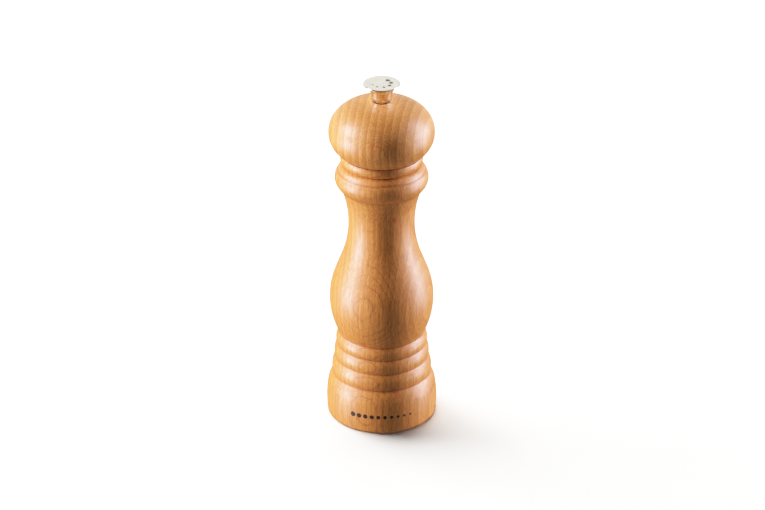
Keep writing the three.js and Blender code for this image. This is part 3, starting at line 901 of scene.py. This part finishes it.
def burr_cone():
    """The turning cone of fired ceramic, driven through a hexagonal hole."""
    low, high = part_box("burr_cone")
    bottom, top = low.z / MM, high.z / MM
    outside = high.x / MM
    crests = [(bottom, outside - 0.05), (12.0, 11.95), (16.0, 9.9), (top, 7.6)]
    depth, twist = 0.8, 0.7
    teeth, samples = 16, 9
    shell = toothed(crests, depth, teeth, twist, samples)
    hexagon = [around(teeth * samples, six_sided, height) for height in (top, bottom)]
    made = tube("toothed_cone", shell + hexagon, [CERAMIC], loop=True, smooth_below=35)
    return stand_for(made, "spindle", "burr_cone")


def burr_ring():
    """The fixed ring of fired ceramic, toothed inside."""
    low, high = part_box("burr_ring")
    bottom, top = low.z / MM, high.z / MM
    outside = 16.35
    crests = [(bottom, 13.9), (12.0, 12.4), (16.0, 11.9), (top, 14.0)]
    depth, twist = 0.7, -0.35
    teeth, samples = 24, 7
    inside = toothed([(z, r + depth) for z, r in crests], depth, teeth, twist, samples)
    wall = [around(teeth * samples, lambda a: outside, height) for height in (top, bottom)]
    made = tube("toothed_ring", inside + wall, [CERAMIC], loop=True, smooth_below=35)
    return stand_for(made, "mill_body", "burr_ring")


# ---------------------------------------------------------------- CAD nodes kept as they are


def finish_kept(node, material, bevel_mm):
    """A CAD node keeps its shape, with its edges broken and a better material."""
    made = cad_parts[node]
    sharpest_left = math.radians(38)
    made.data.materials.clear()
    made.data.materials.append(material)
    weld = made.modifiers.new("weld", "WELD")
    weld.merge_threshold = 0.002 * MM
    bevel = made.modifiers.new("broken_edges", "BEVEL")
    bevel.width = bevel_mm * MM
    bevel.segments = 2
    bevel.limit_method = "ANGLE"
    bevel.angle_limit = sharpest_left
    bevel.use_clamp_overlap = True
    bevel.harden_normals = True


# Each kept node's material, and how far its edges are broken in millimetres.
KEPT = {
    "burr_housing": (BLACK_NYLON, 0.2),
    "bearing_spider": (BLACK_NYLON, 0.2),
    "burr_retaining_ring": (BLACK_NYLON, 0.15),
    "shaft_bush": (WHITE_NYLON, 0.15),
    "shaft_clip": (SPRING_STEEL, 0.1),
    "burr_hub": (WHITE_NYLON, 0.12),
    "burr_washer": (SCREW_STEEL, 0.1),
    "burr_screw": (SCREW_STEEL, 0.12),
    "drive_plate": (SCREW_STEEL, 0.12),
    "knob_washer": (BLACK_NYLON, 0.08),
    "knob_friction_ring": (WHITE_NYLON, 0.08),
}
for number in (1, 2, 3):
    KEPT[f"housing_screw_{number}"] = (SCREW_STEEL, 0.08)
    KEPT[f"plate_screw_{number}"] = (SCREW_STEEL, 0.08)

# ---------------------------------------------------------------- studio


def floor():
    """A plain white sheet. It takes the mill's shadow and throws no light back on the mill."""
    n = Nodes("floor_paper")
    grain = n.noise((0.02, 0.02, 0.02), 2.0)
    material = n.finish(
        Base_Color=n.ramp(grain, (0.3, 0.89), (0.7, 0.91)),
        Roughness=0.8,
    )
    half_side = 30 * HEIGHT / MM
    corners = [(x * half_side, y * half_side, 0) for x, y in ((-1, -1), (1, -1), (1, 1), (-1, 1))]
    made = piece("floor", corners, [(0, 1, 2, 3)], [material])
    made.visible_diffuse = False
    made.visible_glossy = False
    made.visible_shadow = False
    return made


def softbox(name, azimuth, elevation, distance, size, power, tint):
    """An area light that faces the middle of the mill, its distance and size given in mill heights.

    Azimuth 0 is in front and 90 to the right.
    """
    data = bpy.data.lights.new(name, "AREA")
    data.shape = "RECTANGLE"
    data.size, data.size_y = (s * HEIGHT for s in size)
    data.energy = power
    data.color = tint
    a, e = math.radians(azimuth), math.radians(elevation)
    away = Vector((math.sin(a) * math.cos(e), -math.cos(a) * math.cos(e), math.sin(e)))
    light = bpy.data.objects.new(name, data)
    light.location = Vector((0, 0, HEIGHT / 2)) + away * distance * HEIGHT
    light.rotation_mode = "QUATERNION"
    light.rotation_quaternion = away.to_track_quat("Z", "Y")
    light.visible_camera = False
    bpy.context.scene.collection.objects.link(light)
    return light


def link_light(light, made, state):
    """The light shines only on the piece (INCLUDE), or on all but it (EXCLUDE)."""
    chosen = bpy.data.collections.new(f"{light.name}_linking")
    chosen.objects.link(made)
    chosen.collection_objects[0].light_linking.link_state = state
    light.light_linking.receiver_collection = chosen


def dim_room():
    """A dark room that gives a little light from below, as a pale floor does."""
    world = bpy.data.worlds.new("dim_room")
    bpy.context.scene.world = world
    world.use_nodes = True
    tree = world.node_tree
    gradient = tree.nodes.new("ShaderNodeSeparateXYZ")
    tree.links.new(tree.nodes.new("ShaderNodeTexCoord").outputs["Generated"], gradient.inputs[0])
    glow = tree.nodes.new("ShaderNodeMapRange")
    for socket, value in (("From Min", 0.0), ("From Max", -1.0), ("To Min", 0.02), ("To Max", 0.2)):
        glow.inputs[socket].default_value = value
    tree.links.new(gradient.outputs["Z"], glow.inputs["Value"])
    tree.links.new(glow.outputs["Result"], tree.nodes["Background"].inputs["Strength"])
    tree.nodes["Background"].inputs["Color"].default_value = (1, 1, 1, 1)


def film_response():
    """Highlights roll off softly, as on a photograph, and white is reached at twice a white card."""
    view = bpy.context.scene.view_settings
    view.view_transform = "Standard"
    view.use_curve_mapping = True
    mapping = view.curve_mapping
    white = 2.0
    mapping.white_level = (white, white, white)
    curve = mapping.curves[3]
    responses = ((0.1, 0.09), (0.3, 0.295), (0.5, 0.48), (0.8, 0.7), (1.1, 0.84), (1.5, 0.94))
    for brightness, shown in responses:
        curve.points.new(brightness / white, shown)
    mapping.update()


def studio(polished_knob):
    """A column of soft boxes on each side, a broad glow behind, and lights for the floor alone."""
    paper = floor()
    cool, white, warm = (0.84, 0.82, 1.0), (1, 1, 1), (1, 0.98, 0.955)
    near, far = 5.0, 9.0
    square, broad = (1.8, 1.8), (2.8, 1.8)
    boxes = [
        softbox("left_low_box", -76, -10, near, square, 17.0, cool),
        softbox("left_middle_box", -76, 12, near, square, 7.5, cool),
        softbox("left_high_box", -89, 34, near, square, 20.5, cool),
        softbox("right_low_box", 92, -10, near, square, 8.5, cool),
        softbox("right_middle_box", 100, 12, near, broad, 17.0, cool),
        softbox("right_high_box", 106, 34, near, square, 8.0, cool),
        softbox("back_box", 180, 18, near, (10, 7), 9.5, white),
    ]
    for box in boxes:
        link_light(box, paper, "EXCLUDE")
    knob_box = softbox("knob_box", 180, 88, near, (14, 14), 15.0, white)
    link_light(knob_box, polished_knob, "INCLUDE")
    floor_lights = [
        softbox("high_floor_light", -170, 72, far, (5, 5), 74.0, warm),
        softbox("low_floor_light", -122, 38, far, (6, 6), 72.0, warm),
    ]
    for light in floor_lights:
        link_light(light, paper, "INCLUDE")
    dim_room()
    film_response()


def camera():
    """Looks down on the mill from the front, from a distance of about nine and a half heights."""
    elevation = math.radians(27.534)
    distance = 9.5486 * HEIGHT
    aim = Vector((0.0005, 0, 0.4799 * HEIGHT))
    data = bpy.data.cameras.new("camera")
    data.lens = 163.25
    data.sensor_width = 36.0
    made = bpy.data.objects.new("camera", data)
    away = Vector((0, -math.cos(elevation), math.sin(elevation)))
    made.location = aim + away * distance
    made.rotation_mode = "QUATERNION"
    made.rotation_quaternion = away.to_track_quat("Z", "Y")
    data.clip_start, data.clip_end = HEIGHT, 200 * HEIGHT
    bpy.context.scene.collection.objects.link(made)
    bpy.context.scene.camera = made


# ---------------------------------------------------------------- everything

turned_body()
turned_head()
burnt_dots()
flared_knob = knob()
shaft()
spring()
burr_cone()
burr_ring()
for kept_node, (kept_material, kept_bevel) in KEPT.items():
    finish_kept(kept_node, kept_material, kept_bevel)
studio(flared_knob)
camera()
